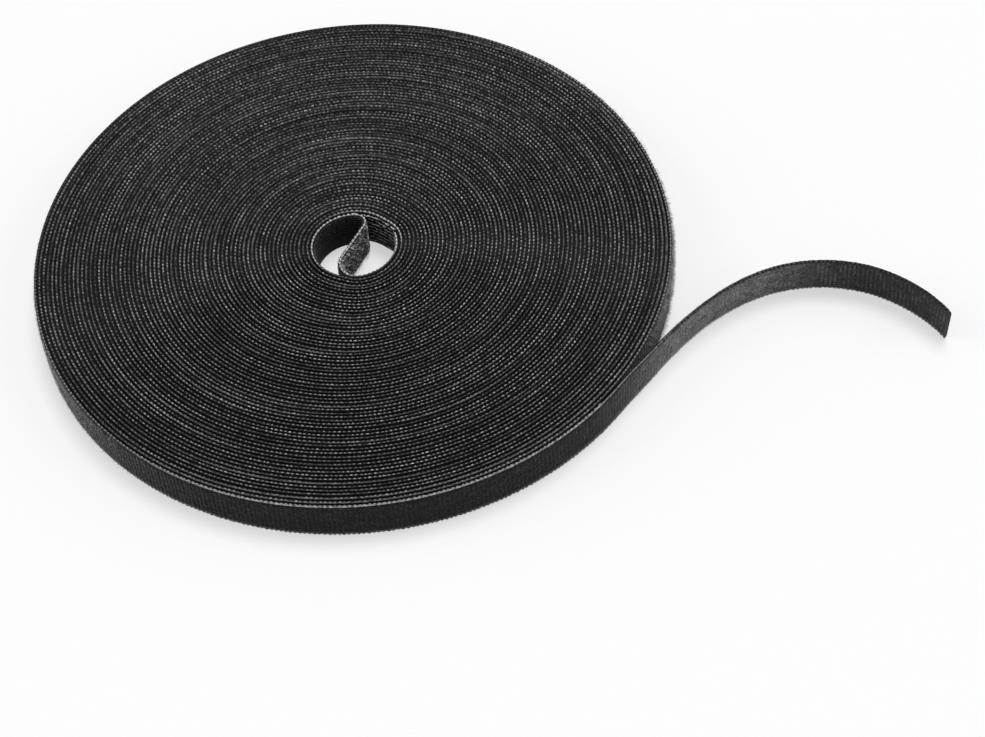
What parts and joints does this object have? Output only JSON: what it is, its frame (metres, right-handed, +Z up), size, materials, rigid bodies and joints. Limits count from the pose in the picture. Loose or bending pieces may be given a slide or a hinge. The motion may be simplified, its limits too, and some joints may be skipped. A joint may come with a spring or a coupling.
{
  "type": "hook and loop tape roll",
  "caption": "Coreless roll of narrow black double-sided hook and loop tape lying on its side, with a free tail that peels off the rim for cutting to length.",
  "frame": {"origin": "middle of the whole part's footprint, tail included, on the surface that the roll lies on", "axes": "+Z up along the roll's axis, +X from the roll toward the tail's free end, +Y away from the picture's viewer"},
  "size_m": [0.2464, 0.178, 0.0127],
  "materials": {
    "hook_tape": "woven black nylon with rows of stiff hooks, dull sheen",
    "loop_tape": "woven black nylon with a brushed loop pile, matt"
  },
  "bodies": {
    "roll": {"hook_tape_wound": "hook_tape", "loop_tape_wound": "loop_tape", "hook_tape_inner_end": "hook_tape", "loop_tape_inner_end": "loop_tape"},
    "tail": {"hook_tape_tail": "hook_tape", "loop_tape_tail": "loop_tape"}
  },
  "joints": [
    {"name": "tail_peel", "type": "hinge", "parent": "roll", "child": "tail", "pos_m": [0.03062, -0.06169, 0], "axis": [0, 0, 1], "range_deg": [-75, 0]}
  ]
}
